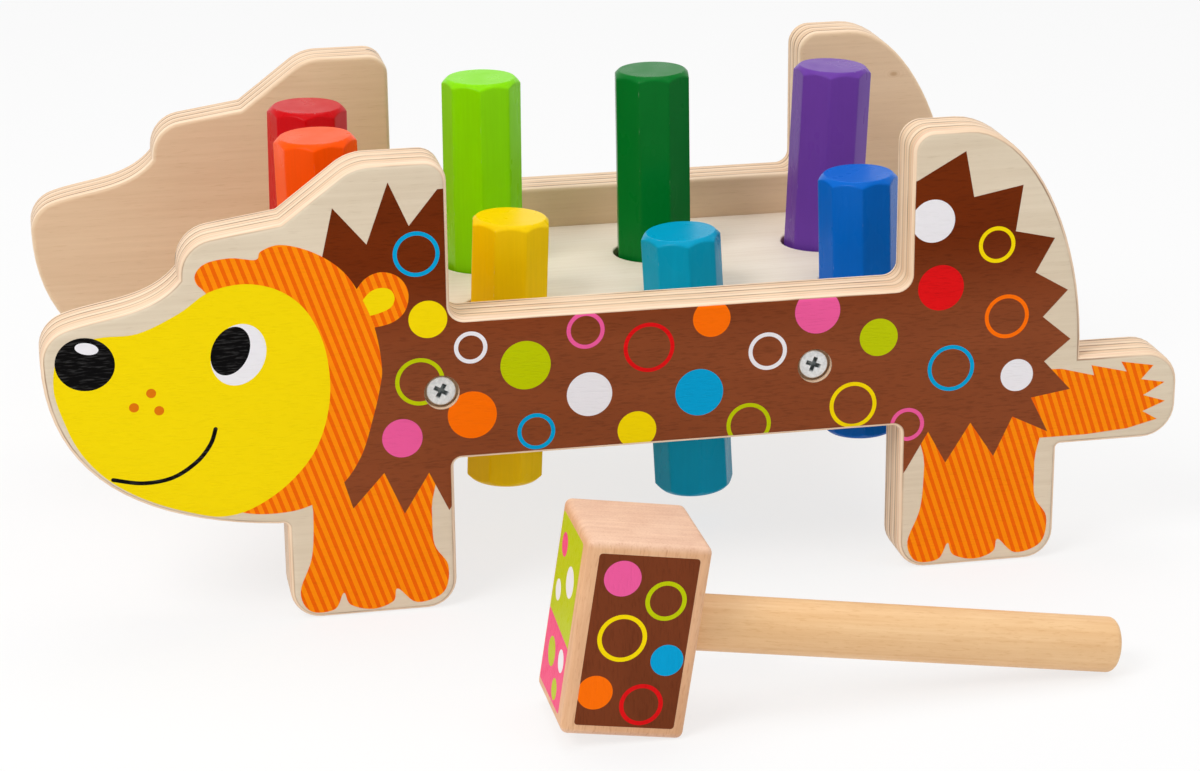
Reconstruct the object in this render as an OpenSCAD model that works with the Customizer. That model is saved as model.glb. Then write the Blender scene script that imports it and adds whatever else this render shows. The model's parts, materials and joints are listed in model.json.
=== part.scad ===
// Peg pounding bench: two plywood side panels sawn to the outline of a small spiny animal, a plywood
// plate with round holes screwed between them, octagonal pegs that are driven through the holes, and
// a mallet that lies in front.
// Frame: millimetres, +X from the nose to the tail, +Y from the front panel to the back one, +Z up.
// The origin is on the floor, under the middle of the bench.

/* [Bench] */
// Length from the nose to the tip of the tail
bench_l = 361; // [350:1:400]
// Width over the outer faces of both side panels
bench_w = 161; // [140:1:200]
// Height of the humps, on which the bench stands when it is turned over
bench_h = 146; // [140:1:160]

/* [Side panel] */
// Thickness of the side panels
panel_t = 18; // [12:0.5:21]
// Width of each leg
leg_w = 52.5; // [46:0.5:56]
// Middle of the bench to the outer edge of the front leg
front_leg_x = 108.5; // [104:0.5:116]
// Middle of the bench to the outer edge of the rear leg
rear_leg_x = 140.5; // [134:0.5:144]
// Rounding of the corners of the feet
foot_r = 9.5; // [4:0.5:14]
// Height of the belly between the legs
belly_z = 49.5; // [42:0.5:54]
// Rounding of the inner corners at the belly
belly_r = 2.5; // [1:0.5:8]
// Middle of the bench to the front end of the saddle between the humps
saddle_front_x = 56; // [48:0.5:62]
// Middle of the bench to the rear end of the saddle
saddle_rear_x = 90; // [84:0.5:96]
// Height of the saddle's floor
saddle_z = 95.3; // [90:0.1:104]
// Rounding of the saddle's lower corners
saddle_r = 4.5; // [1:0.5:10]
// Rounding of the humps' corners over the saddle
hump_r = 7; // [2:0.5:12]
// Middle of the bench to the shoulder where the front hump's top begins
shoulder_x = 84.5; // [80:0.5:90]
// Rounding of that shoulder
shoulder_r = 16; // [6:1:20]
// Middle of the bench to the end of the rear hump's flat top
rump_x = 108; // [102:0.5:114]

/* [Head and tail] */
// Height of the tip of the nose
nose_z = 90; // [84:0.5:94]
// Rounding of the nose
nose_r = 11; // [8:0.5:13]
// Height of the throat where the chin meets the front leg
throat_z = 32.3; // [28:0.1:38]
// Middle of the bench to the notch between the snout and the forehead
brow_x = 138; // [132:0.5:142]
// Height of that notch
brow_z = 113.5; // [110:0.5:116]
// Height of the forehead over the notch
forehead_z = 124.8; // [122:0.1:128]
// Rounding of the forehead
forehead_r = 11.5; // [2:0.5:13]
// Middle of the bench to the valley between the head and the front hump
nape_x = 106.8; // [102:0.1:112]
// Height of that valley
nape_z = 129.3; // [128:0.1:133]
// Middle of the bench to the root of the tail
tail_x = 147.3; // [145:0.1:152]
// Height of the tail's upper edge
tail_top_z = 68.5; // [62:0.5:76]
// Height of the tail's lower edge
tail_low_z = 39; // [32:0.5:44]
// Rounding of the tail's end
tail_r = 11; // [4:0.5:13]
// Rounding of the small inner corners at the throat, the nape and the tail
crook_r = 1.5; // [0.5:0.5:3]

/* [Bench plate] */
// Thickness of the plate
plate_t = 18; // [15:0.5:24]
// Height of the plate's mid-plane
plate_z = 72; // [68:0.5:76]
// Wood left between the outermost holes and the ends of the plate
plate_end = 9; // [6:0.5:16]
// Distance from one column of holes to the next
column_pitch = 59.3; // [52:0.1:62]
// Distance between the two rows of holes
row_pitch = 50; // [46:0.5:60]
// Gap all round between a peg's corners and its hole
hole_gap = 0.7; // [0.6:0.05:1.5]

/* [Pegs] */
// Width of a peg across its flats
peg_flats = 24.6; // [20:0.1:27]
// Length of a peg
peg_l = 89; // [80:0.5:90]
// Diameter of the flat round face at each end
peg_face_d = 22.6; // [16:0.1:24]
// Height of the red peg's top above the floor, as it stands
red_top = 139; // [98:0.5:145.5]
// Height of the light green peg's top above the floor, as it stands
light_green_top = 145.5; // [98:0.5:145.5]
// Height of the dark green peg's top above the floor, as it stands
dark_green_top = 145; // [98:0.5:145.5]
// Height of the purple peg's top above the floor, as it stands
purple_top = 143; // [98:0.5:145.5]
// Height of the orange peg's top above the floor, as it stands
orange_top = 141.5; // [98:0.5:145.5]
// Height of the yellow peg's top above the floor, as it stands
yellow_top = 111; // [98:0.5:145.5]
// Height of the cyan peg's top above the floor, as it stands
cyan_top = 102.5; // [98:0.5:145.5]
// Height of the blue peg's top above the floor, as it stands
blue_top = 118.5; // [98:0.5:145.5]

/* [Friction rings] */
// Thickness of a ring's round section
ring_d = 3; // [2:0.1:4]
// Gap between a ring and the corners of a peg that stands upright
ring_gap = 0.2; // [0.15:0.05:0.5]
// Clearance between a ring and its groove
groove_gap = 0.05; // [0.02:0.01:0.2]

/* [Screws] */
// Diameter of a screw's countersunk head
screw_head_d = 9.2; // [7:0.1:11]
// Diameter over the thread
screw_d = 4.8; // [4:0.1:6]
// Depth of the thread
thread_depth = 0.7; // [0.3:0.05:0.9]
// Distance from one ridge of the thread to the next
thread_pitch = 2; // [1.2:0.1:3]
// Overall length of a screw
screw_l = 38; // [34:1:50]
// Length of the threaded end
thread_l = 24; // [12:1:26]
// Depth of the head below the outer face of its panel
screw_sink = 1.6; // [0.4:0.1:2.5]
// Radial room around a screw's head in its counterbore
head_room = 0.9; // [0.2:0.1:1.5]
// Radial clearance of a screw in its hole and its seat
screw_gap = 0.1; // [0.05:0.05:0.3]
// Length of each arm of the cross recess, from the axis
cross_arm = 2.5; // [1.8:0.1:3]
// Width of an arm of the cross recess
cross_w = 1.4; // [0.6:0.1:1.6]
// Depth of the cross recess
cross_depth = 1.8; // [1:0.1:2.2]

/* [Mallet] */
// Size of the head along the handle
mallet_w = 36; // [30:0.5:45]
// Size of the head across the handle, lying on its side
mallet_d = 36; // [30:0.5:45]
// Height of the head between its two striking faces
mallet_h = 59; // [50:0.5:75]
// Rounding of the edges of the head and of the handle's end
mallet_r = 2.5; // [1:0.5:5]
// Diameter of the handle
handle_d = 16.6; // [14:0.1:20]
// Length of the handle outside the head
handle_l = 133.5; // [110:0.5:180]
// Depth of the handle's blind socket in the head
socket_depth = 26; // [15:1:28]
// Glue gap all round the handle in its socket
glue_gap = 0.05; // [0.02:0.01:0.2]
// Place of the middle of the head on the floor, along the bench
mallet_x = -20.6; // [-60:0.1:20]
// Distance from the front panel to the middle of the head
mallet_away = 91.2; // [60:0.1:120]
// Turn of the handle away from the line of the bench, in degrees
mallet_turn = 1; // [-10:0.5:10]

/* [Hidden] */
$fn = 64;

// Each peg: name, column from the nose, row (1 is the back), height of its top, lean towards the
// tail and turn about its own axis in degrees, colour
PEGS = [
    ["red", 0, 1, red_top, 1, -8, "#c4161c"],
    ["light_green", 1, 1, light_green_top, 0.3, -10, "#7fc100"],
    ["dark_green", 2, 1, dark_green_top, -0.5, 14, "#00702a"],
    ["purple", 3, 1, purple_top, 2.5, -17, "#63328f"],
    ["orange", 0, -1, orange_top, -1, -8, "#ff5a00"],
    ["yellow", 1, -1, yellow_top, 2.5, 14, "#f2c800"],
    ["cyan", 2, -1, cyan_top, -3, -2, "#0090b8"],
    ["blue", 3, -1, blue_top, -1.5, -9, "#0060b5"]
];
columns = 4;
PLYWOOD = "#dcc8a4";
BEECH = "#dcaa76";
STEEL = "#b9bcc0";
RUBBER = "#2b2b2b";

// Points on each rounded corner and on each free curve of the panel's outline
corner_steps = 8;
curve_steps = 20;

// How far the cutting shapes run past the faces that they cut
over = 1;

peg_r = peg_flats / 2 / cos(180 / 8);
hole_r = peg_r + hole_gap;
ring_in = peg_r + ring_gap;
groove_r = ring_in + ring_d + groove_gap;
groove_h = ring_d + 2 * groove_gap;
plate_w = bench_w - 2 * panel_t;
plate_l = (columns - 1) * column_pitch + 2 * (hole_r + plate_end);
screw_x = column_pitch;

// Where the mallet's head and the end of its handle both touch the floor
handle_reach = mallet_w / 2 + handle_l;
mallet_tilt = atan((mallet_h / 2 - handle_d / 2) / handle_l);
mallet_y = -bench_w / 2 - mallet_away;
mallet_z = (mallet_w / 2 - mallet_r) * sin(mallet_tilt)
    + (mallet_h / 2 - mallet_r) * cos(mallet_tilt) + mallet_r;

function unit(v) = v / norm(v);
function heading(v) = atan2(v[1], v[0]);
function wrapped(angle) = angle > 180 ? angle - 360 : angle < -180 ? angle + 360 : angle;
function flat(p) = [p[0], p[1]];

// Points on the arc of radius r that rounds the corner at b, on the way from a to c
function corner(a, b, c, r) =
    let (
        u = unit(a - b),
        v = unit(c - b),
        half = acos(u * v) / 2,
        middle = b + unit(u + v) * r / sin(half),
        start = heading(b + u * r / tan(half) - middle),
        sweep = wrapped(heading(b + v * r / tan(half) - middle) - start)
    )
    [for (i = [0:corner_steps]) middle + r * spoke(start + sweep * i / corner_steps)];

function spoke(angle) = [cos(angle), sin(angle)];

// A path of [x, z, rounding] with its inner points rounded; its two ends only give directions
function rounded(path) = [
    for (i = [1:len(path) - 2])
        each corner(flat(path[i - 1]), flat(path[i]), flat(path[i + 1]), path[i][2])
];

// Points on the cubic curve from a to d, pulled towards b and c
function curve(a, b, c, d) = [
    for (i = [0:curve_steps])
        let (t = i / curve_steps, s = 1 - t)
        s * s * s * a + 3 * s * s * t * b + 3 * s * t * t * c + t * t * t * d
];

nose = [-bench_l / 2 + nose_r, nose_z];
tail_end = bench_l / 2;
front_leg_in = -front_leg_x + leg_w;
rear_leg_in = rear_leg_x - leg_w;

// Direction of the snout's upper edge where it leaves the rounded nose, in degrees
snout_rise = 19;
snout_start = nose + nose_r * spoke(90 + snout_rise);
brow = [-brow_x, brow_z];
rump = [rump_x, bench_h];
tail_root = [tail_x, tail_top_z];
throat = [-front_leg_x - 2 * crook_r, throat_z];
// Pulls on the free curves: the snout, the back of the rear hump and the chin
snout_pull = 12;
brow_pull = [9, 10.3];
rump_pull = 20.5;
tail_pull = [0.7, 41.5];
throat_pull = [42, 3.2];
chin_pull = 37;

function outline() = concat(
    [for (i = [0:corner_steps]) nose + nose_r * spoke(180 - (90 - snout_rise) * i / corner_steps)],
    curve(snout_start, snout_start + snout_pull * spoke(snout_rise), brow - brow_pull, brow),
    rounded([
        brow,
        [-brow_x + crook_r / 2, forehead_z, forehead_r],
        [-nape_x, nape_z, crook_r],
        [-shoulder_x, bench_h, shoulder_r],
        [-saddle_front_x, bench_h, hump_r],
        [-saddle_front_x, saddle_z, saddle_r],
        [saddle_rear_x, saddle_z, saddle_r],
        [saddle_rear_x, bench_h, hump_r],
        rump
    ]),
    curve(rump, rump + [rump_pull, 0], tail_root + tail_pull, tail_root),
    rounded([
        tail_root,
        [tail_end, tail_top_z, tail_r],
        [tail_end, tail_low_z, tail_r],
        [rear_leg_x, tail_low_z, crook_r],
        [rear_leg_x, 0, foot_r],
        [rear_leg_in, 0, foot_r],
        [rear_leg_in, belly_z, belly_r],
        [front_leg_in, belly_z, belly_r],
        [front_leg_in, 0, foot_r],
        [-front_leg_x, 0, foot_r],
        [-front_leg_x, throat_z, crook_r],
        throat
    ]),
    curve(throat, throat + [-throat_pull[0], throat_pull[1]],
        [-bench_l / 2, nose_z - chin_pull], [-bench_l / 2, nose_z])
);

function column_x(column) = (column - (columns - 1) / 2) * column_pitch;
function row_y(row) = row * row_pitch / 2;
function peg_data(name) = PEGS[search([name], PEGS)[0]];

// Puts a shape that is drawn along +Z into a screw's place: its head at the outer face, its point
// towards the middle of the bench
module at_screw(x, side) {
    translate([x, side * bench_w / 2, plate_z])
        rotate([side * 90, 0, 0])
            children();
}

module side_panel(side) {
    color(PLYWOOD)
        difference() {
            translate([0, side * (bench_w - panel_t) / 2 + panel_t / 2, 0])
                rotate([90, 0, 0])
                    linear_extrude(panel_t)
                        polygon(outline());
            for (x = [-screw_x, screw_x])
                at_screw(x, side)
                    screw_hole();
        }
}

// Counterbore, seat for the head's cone and clearance hole, from the panel's outer face
module screw_hole() {
    shank_r = screw_d / 2 + screw_gap;
    seat_r = screw_head_d / 2 + screw_gap;
    bore_r = screw_head_d / 2 + head_room;
    rotate_extrude()
        polygon([
            [0, -over], [bore_r, -over], [bore_r, screw_sink], [seat_r, screw_sink],
            [shank_r, screw_sink + seat_r - shank_r], [shank_r, panel_t + over], [0, panel_t + over]
        ]);
}

module bench_plate() {
    color(PLYWOOD)
        difference() {
            translate([-plate_l / 2, -plate_w / 2, plate_z - plate_t / 2])
                cube([plate_l, plate_w, plate_t]);
            for (column = [0:columns - 1], row = [-1, 1])
                translate([column_x(column), row_y(row), plate_z])
                    peg_hole();
            for (x = [-screw_x, screw_x], side = [-1, 1])
                at_screw(x, side)
                    cylinder(r = screw_d / 2 + screw_gap, h = screw_sink + screw_l + screw_gap);
        }
}

// Through hole with the groove that keeps the friction ring at mid-thickness
module peg_hole() {
    cylinder(r = hole_r, h = plate_t + 2 * over, center = true);
    cylinder(r = groove_r, h = groove_h, center = true);
}

module friction_ring(name) {
    data = peg_data(name);
    color(RUBBER)
        translate([column_x(data[1]), row_y(data[2]), plate_z])
            rotate_extrude()
                translate([ring_in + ring_d / 2, 0])
                    circle(d = ring_d);
}

module peg(name) {
    data = peg_data(name);
    color(data[6])
        translate([column_x(data[1]), row_y(data[2]), plate_z])
            rotate([0, data[4], 0])
                translate([0, 0, data[3] - plate_z - peg_l])
                    rotate([0, 0, data[5]])
                        peg_body();
}

// Octagonal prism whose ends are turned to a chamfer of 45 degrees
module peg_body() {
    face_r = peg_face_d / 2;
    turned_r = peg_r + over;
    chamfer = turned_r - face_r;
    intersection() {
        cylinder(r = peg_r, h = peg_l, $fn = 8);
        rotate_extrude()
            polygon([
                [0, 0], [face_r, 0], [turned_r, chamfer],
                [turned_r, peg_l - chamfer], [face_r, peg_l], [0, peg_l]
            ]);
    }
}

module screw(x, side) {
    color(STEEL)
        at_screw(x, side)
            translate([0, 0, screw_sink])
                difference() {
                    screw_body();
                    cross_recess();
                }
}

// Countersunk head, plain shank and a thread drawn as closed ridges that run out in a point
module screw_body() {
    head_r = screw_head_d / 2;
    thread_r = screw_d / 2;
    root_r = thread_r - thread_depth;
    ridges = floor(thread_l / thread_pitch) - 1;
    first = screw_l - thread_l;
    ridge_points = [
        for (i = [0:ridges - 1])
            let (z = first + i * thread_pitch)
            each [[thread_r, z], [root_r, z + thread_pitch / 2]]
    ];
    rotate_extrude()
        polygon(concat(
            [[0, 0], [head_r, 0], [thread_r, head_r - thread_r]],
            ridge_points,
            [[0, screw_l]]
        ));
}

module cross_recess() {
    for (turn = [0, 90])
        rotate([0, 0, turn])
            translate([-cross_arm, -cross_w / 2, -over])
                cube([2 * cross_arm, cross_w, cross_depth + over]);
}

// Puts a shape drawn about the middle of the mallet's head, handle along +X, where the mallet lies
module at_mallet() {
    translate([mallet_x, mallet_y, mallet_z])
        rotate([0, mallet_tilt, mallet_turn])
            children();
}

// Block with all its edges rounded, about its middle
module soft_block(size, r) {
    intersection() {
        soft_prism(size[0], size[1], size[2], r);
        rotate([90, 0, 0])
            soft_prism(size[0], size[2], size[1], r);
        rotate([90, 0, 90])
            soft_prism(size[1], size[2], size[0], r);
    }
}

// Upright prism with four rounded corners
module soft_prism(a, b, h, r) {
    linear_extrude(h, center = true) {
        square([a - 2 * r, b], center = true);
        square([a, b - 2 * r], center = true);
        for (x = [-1, 1], y = [-1, 1])
            translate([x * (a / 2 - r), y * (b / 2 - r)])
                circle(r = r);
    }
}

module mallet_head() {
    color(BEECH)
        at_mallet()
            difference() {
                soft_block([mallet_w, mallet_d, mallet_h], mallet_r);
                translate([mallet_w / 2 - socket_depth, 0, 0])
                    rotate([0, 90, 0])
                        cylinder(d = handle_d + 2 * glue_gap, h = socket_depth + over);
            }
}

module mallet_handle() {
    r = handle_d / 2;
    inner = mallet_w / 2 - socket_depth + glue_gap;
    length = handle_reach - inner;
    color(BEECH)
        at_mallet()
            translate([inner, 0, 0])
                rotate([0, 90, 0])
                    union() {
                        cylinder(r = r, h = length - mallet_r);
                        cylinder(r = r - mallet_r, h = length);
                        translate([0, 0, length - mallet_r])
                            rotate_extrude()
                                translate([r - mallet_r, 0])
                                    circle(r = mallet_r);
                    }
}

side_panel(-1);  // front_side_panel
side_panel(1);  // back_side_panel
bench_plate();
peg("red");  // peg_red
peg("light_green");  // peg_light_green
peg("dark_green");  // peg_dark_green
peg("purple");  // peg_purple
peg("orange");  // peg_orange
peg("yellow");  // peg_yellow
peg("cyan");  // peg_cyan
peg("blue");  // peg_blue
friction_ring("red");  // ring_red
friction_ring("light_green");  // ring_light_green
friction_ring("dark_green");  // ring_dark_green
friction_ring("purple");  // ring_purple
friction_ring("orange");  // ring_orange
friction_ring("yellow");  // ring_yellow
friction_ring("cyan");  // ring_cyan
friction_ring("blue");  // ring_blue
screw(-screw_x, -1);  // screw_front_left
screw(screw_x, -1);  // screw_front_right
screw(-screw_x, 1);  // screw_back_left
screw(screw_x, 1);  // screw_back_right
mallet_head();
mallet_handle();
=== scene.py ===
import json
from math import atan2, cos, pi, radians, sin

import bmesh
import bpy
import numpy
from mathutils import Matrix, Vector
from mathutils.geometry import delaunay_2d_cdt


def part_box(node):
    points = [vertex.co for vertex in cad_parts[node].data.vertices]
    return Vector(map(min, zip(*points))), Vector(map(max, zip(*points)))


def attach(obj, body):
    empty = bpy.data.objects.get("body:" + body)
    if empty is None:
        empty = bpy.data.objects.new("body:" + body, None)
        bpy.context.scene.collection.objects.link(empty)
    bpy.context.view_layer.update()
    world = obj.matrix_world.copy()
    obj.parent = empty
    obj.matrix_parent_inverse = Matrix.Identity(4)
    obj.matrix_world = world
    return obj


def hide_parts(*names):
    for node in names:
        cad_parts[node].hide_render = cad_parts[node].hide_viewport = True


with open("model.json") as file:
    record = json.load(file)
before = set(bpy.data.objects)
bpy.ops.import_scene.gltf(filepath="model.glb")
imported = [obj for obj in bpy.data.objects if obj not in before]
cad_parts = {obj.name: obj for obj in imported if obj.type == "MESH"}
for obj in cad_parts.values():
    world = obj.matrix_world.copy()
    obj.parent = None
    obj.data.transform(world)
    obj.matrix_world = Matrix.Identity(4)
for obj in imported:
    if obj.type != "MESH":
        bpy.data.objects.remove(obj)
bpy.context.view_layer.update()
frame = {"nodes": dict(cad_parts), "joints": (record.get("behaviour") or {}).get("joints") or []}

# Side panels
# Two boards of birch plywood, sawn to the outline of a small spiny animal and sanded to a round edge.
# Each is counterbored for the two screws that hold it to the bench plate.
MM = 0.001
WELD, LEVEL = 1e-6, 1e-5
PANELS = {"front_side_panel": -1, "back_side_panel": 1}
PLIES = 7
PANEL_ROUND, INNER_ROUND = 2.3, 1.6
ROUND_STEPS = 6
HOLE_STEPS = 48
VENEER_ENDS, INNER_VENEER = (0.18, 0.36), (0.9, 0.15)
SANDED_LINE = 1.5
FIRST_PLIES, CROSS_PLIES = ((246, 222, 194), (230, 198, 164)), ((241, 212, 178), (214, 176, 138))
GLUE, DARK_FIBRE, SANDED = (130, 86, 54), (150, 106, 70), (212, 148, 116)
# Painted shade: voids in the core ply, each given below as a middle and a reach in millimetres, are dark
# patches on the edge in place of holes.
CORE_GAP_SHADE, KNOT_DARK = (52, 32, 20), (166, 116, 64)
CORE_GAPS = [((-138, -65.1, 115.8), (4, 1.3, 2.8)), ((-60, 73, 146), (2.6, 0.8, 4))]
KNOT = ((124.7, 62.5, 129.5), (1.7, 3, 1.0))
panel_low, panel_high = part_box("front_side_panel")
PANEL_FACE = -panel_low.y / MM
PANEL_T = (panel_high.y - panel_low.y) / MM


class Wire:
    """One output of a node. Arithmetic on it adds Math nodes to the same tree."""

    def __init__(self, socket):
        self.socket = socket
        self.tree = socket.id_data

    @classmethod
    def add(cls, tree, kind, sockets=None, out=0, **settings):
        made = tree.nodes.new(kind)
        for name, value in settings.items():
            setattr(made, name, value)
        for name, value in (sockets or {}).items():
            if isinstance(value, Wire):
                tree.links.new(value.socket, made.inputs[name])
            else:
                made.inputs[name].default_value = value
        return cls(made.outputs[out])

    def node(self, kind, sockets=None, out=0, **settings):
        return Wire.add(self.tree, kind, sockets, out, **settings)

    def math(self, operation, *others):
        return self.node("ShaderNodeMath", dict(enumerate((self, *others))), operation=operation)

    def __add__(self, other):
        return self.math("ADD", other)

    def __sub__(self, other):
        return self.math("SUBTRACT", other)

    def __rsub__(self, other):
        return self.math("MULTIPLY_ADD", -1.0, other)

    def __mul__(self, other):
        return self.math("MULTIPLY", other)

    def __truediv__(self, other):
        return self.math("DIVIDE", other)

    def ramp(self, low, high, to_low=0.0, to_high=1.0, shape="LINEAR"):
        """This value from low to high, spread over to_low to to_high and held there outside."""
        values = {"Value": self, 1: low, 2: high, 3: to_low, 4: to_high}
        return self.node("ShaderNodeMapRange", values, interpolation_type=shape)

    def blend(self, first, second):
        """The first colour where this value is 0, the second where it is 1."""
        return self.node("ShaderNodeMix", {0: self, 6: first, 7: second}, out=2, data_type="RGBA")

    def vector(self, operation, *others, out=0):
        return self.node("ShaderNodeVectorMath", dict(enumerate((self, *others))), out, operation=operation)

    def noise(self, scale, detail, seed):
        """Noise with the given number of waves per millimetre along X, Y and Z."""
        moved = self.vector("MULTIPLY_ADD", [s / MM for s in scale], (seed, seed * 1.7, -seed))
        return self.node("ShaderNodeTexNoise", {"Vector": moved, "Scale": 1.0, "Detail": detail})

    def drawn(self, along, long_wave, cross_wave, detail, seed):
        """Noise that is drawn out along one axis, as grain is."""
        return self.noise([long_wave if axis == along else cross_wave for axis in range(3)], detail, seed)

    def axes(self):
        split = self.node("ShaderNodeSeparateXYZ", {0: self}).socket.node
        return [Wire(out) for out in split.outputs]

    def away_from(self, middle, reach):
        """0 at the middle, in millimetres, and 1 on the egg-shaped surface that lies reach away from it."""
        size = [1 / (r * MM) for r in reach]
        start = [-m / r for m, r in zip(middle, reach)]
        return self.vector("MULTIPLY_ADD", size, start).vector("LENGTH", out="Value")

    def into(self, shader, name):
        self.tree.links.new(self.socket, shader.inputs[name])


def srgb(red, green, blue):
    """A colour as a picture gives it, 0 to 255, as the linear values that shaders take."""
    parts = [c / 255 for c in (red, green, blue)]
    return tuple(c / 12.92 if c <= 0.04045 else ((c + 0.055) / 1.055) ** 2.4 for c in parts) + (1.0,)


def new_finish(name, roughness, specular, metallic=0.0):
    """A material, its shader, and where each point of the piece lies."""
    finish = bpy.data.materials.new(name)
    finish.use_nodes = True
    shader = finish.node_tree.nodes["Principled BSDF"]
    shader.inputs["Roughness"].default_value = roughness
    shader.inputs["Specular IOR Level"].default_value = specular
    shader.inputs["Metallic"].default_value = metallic
    return finish, shader, Wire.add(finish.node_tree, "ShaderNodeTexCoord", out="Object")


def bump(height, shader, distance, strength):
    """Relief of that distance in millimetres."""
    relief = {"Height": height, "Distance": distance * MM, "Strength": strength}
    height.node("ShaderNodeBump", relief).into(shader, "Normal")


def veneer(place, along, light, dark):
    """Birch veneer: broad soft figure, long streaks and short dark pores that run along the grain."""
    figure = place.drawn(along, 0.012, 0.06, 2.0, 3.0).ramp(0.3, 0.7)
    streaks = place.drawn(along, 0.02, 0.7, 3.0, 5.0).ramp(0.3, 0.75)
    pores = place.drawn(along, 0.16, 2.4, 2.0, 9.0).ramp(0.6, 0.74)
    tone = figure * 0.35 + streaks * 0.38 + pores * 0.4
    return tone.blend(light, dark), pores + streaks * 0.4


def plywood(name, depth_axis, depth_of, thickness, outer, inner, core_gaps=(), knot=None):
    """Plywood whose plies follow the depth below one face, in millimetres, right through the board.
    The grain of its two faces runs along X."""
    finish, shader, place = new_finish(name, 0.5, 0.3)
    depth = depth_of(place)
    wander = place.noise((0.03, 0.03, 0.03), 2.0, 1.0) - 0.5
    level = (depth + wander * 0.9) / (thickness / PLIES)
    odd = (level * 0.5).math("FRACT").ramp(0.47, 0.53)
    near_glue = (level + 0.5).math("PINGPONG", 0.5)
    heavy = (level * 0.5 + 0.25).math("FRACT").ramp(0.49, 0.51, 1.0, 0.3)
    glue = near_glue.ramp(0.3, 0.41) * heavy
    fibre = place.drawn(depth_axis, 3.2, 0.03, 4.0, 4.0)
    tone = fibre.ramp(0.36, 0.66)
    first_ply, cross_ply = (tone.blend(*(srgb(*c) for c in pair)) for pair in (FIRST_PLIES, CROSS_PLIES))
    edge = odd.blend(first_ply, cross_ply)
    patchy = place.noise((0.05, 0.05, 0.05), 2.0, 8.0).ramp(0.36, 0.62, 0.4, 1.0)
    edge = (glue * patchy).blend(edge, srgb(*GLUE))
    edge = (fibre.ramp(0.68, 0.76) * 0.55).blend(edge, srgb(*DARK_FIBRE))
    # Painted shade: dark patches where voids open in the core ply.
    for gap in core_gaps:
        edge = (place.away_from(*gap) + wander * 0.8).ramp(1.0, 0.75).blend(edge, srgb(*CORE_GAP_SHADE))
    top, relief = veneer(place, 0, *outer)
    bottom, _ = veneer(place, 0, *inner)
    if knot:
        away = place.away_from(*knot) + wander
        whorl = (away * 7).math("SINE") * away.ramp(0.9, 2.6, 0.14, 0.0)
        bottom = whorl.math("MAXIMUM", away.ramp(0.3, 1.0, 0.5, 0.0)).blend(bottom, srgb(*KNOT_DARK))
    sanded = (depth - SANDED_LINE).math("ABSOLUTE").ramp(0.0, 0.45, 0.5, 0.0) * patchy
    colour = depth.ramp(*VENEER_ENDS).blend(top, sanded.blend(edge, srgb(*SANDED)))
    colour = depth.ramp(*(thickness - rest for rest in INNER_VENEER)).blend(colour, bottom)
    colour.into(shader, "Base Color")
    (relief * -0.5 + 0.5).ramp(0.0, 1.0, 0.42, 0.6).into(shader, "Roughness")
    bump(1.0 - relief, shader, 0.05, 0.35)
    return finish


def flat_loops(node, axis, value):
    """Outlines of the node's flat face at that height along the axis, largest first, in millimetres."""
    copy = bmesh.new()
    copy.from_mesh(frame["nodes"][node].data)
    bmesh.ops.remove_doubles(copy, verts=copy.verts, dist=WELD)
    flat = {f for f in copy.faces if all(abs(v.co[axis] - value) < LEVEL for v in f.verts)}
    border = [e for e in copy.edges if sum(f in flat for f in e.link_faces) == 1]
    links = {}
    for edge in border:
        one, two = edge.verts
        links.setdefault(one, []).append(two)
        links.setdefault(two, []).append(one)
    keep = [a for a in range(3) if a != axis]
    loops = []
    while links:
        step = next(iter(links))
        loop = []
        while step is not None:
            loop.append(tuple(step.co[a] / MM for a in keep))
            onward = links.pop(step)
            step = next((v for v in reversed(onward) if v in links), None)
        loops.append(ccw(loop))
    copy.free()
    return sorted(loops, key=lambda points: -abs(area(points)))


def area(points):
    return sum(a[0] * b[1] - b[0] * a[1] for a, b in zip(points, points[1:] + points[:1])) / 2


def ccw(points):
    return points if area(points) > 0 else points[::-1]


def ellipse(x, z, rx, rz=None, turn=0.0):
    rz = rz or rx
    tilt = radians(turn)
    angles = [2 * pi * i / HOLE_STEPS for i in range(HOLE_STEPS)]
    spots = [(rx * cos(angle), rz * sin(angle)) for angle in angles]
    return [(x + a * cos(tilt) - b * sin(tilt), z + a * sin(tilt) + b * cos(tilt)) for a, b in spots]


def round_hole(loop):
    """Middle and radius of a round outline."""
    xs, zs = zip(*loop)
    middle = ((min(xs) + max(xs)) / 2, (min(zs) + max(zs)) / 2)
    return middle, (max(xs) - min(xs)) / 2


def inset(points, distance):
    """The outline moved inwards by that distance, with mitred corners."""
    moved = []
    for a, b, c in zip(points[-1:] + points[:-1], points, points[1:] + points[:1]):
        one, two = (Vector((-(q[1] - p[1]), q[0] - p[0])).normalized() for p, q in ((a, b), (b, c)))
        push = (one + two) * (distance / (1 + one.dot(two)))
        moved.append((b[0] + push.x, b[1] + push.y))
    return moved


def overlay(polygons):
    """Cuts closed outlines by each other: points, triangles and the outlines that each triangle lies in."""
    points, faces = [], []
    for polygon in polygons:
        faces.append(list(range(len(points), len(points) + len(polygon))))
        points += [Vector(p) for p in ccw(polygon)]
    spots, _, triangles, _, _, owners = delaunay_2d_cdt(points, [], faces, 0, 1e-5)
    return spots, triangles, owners


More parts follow.
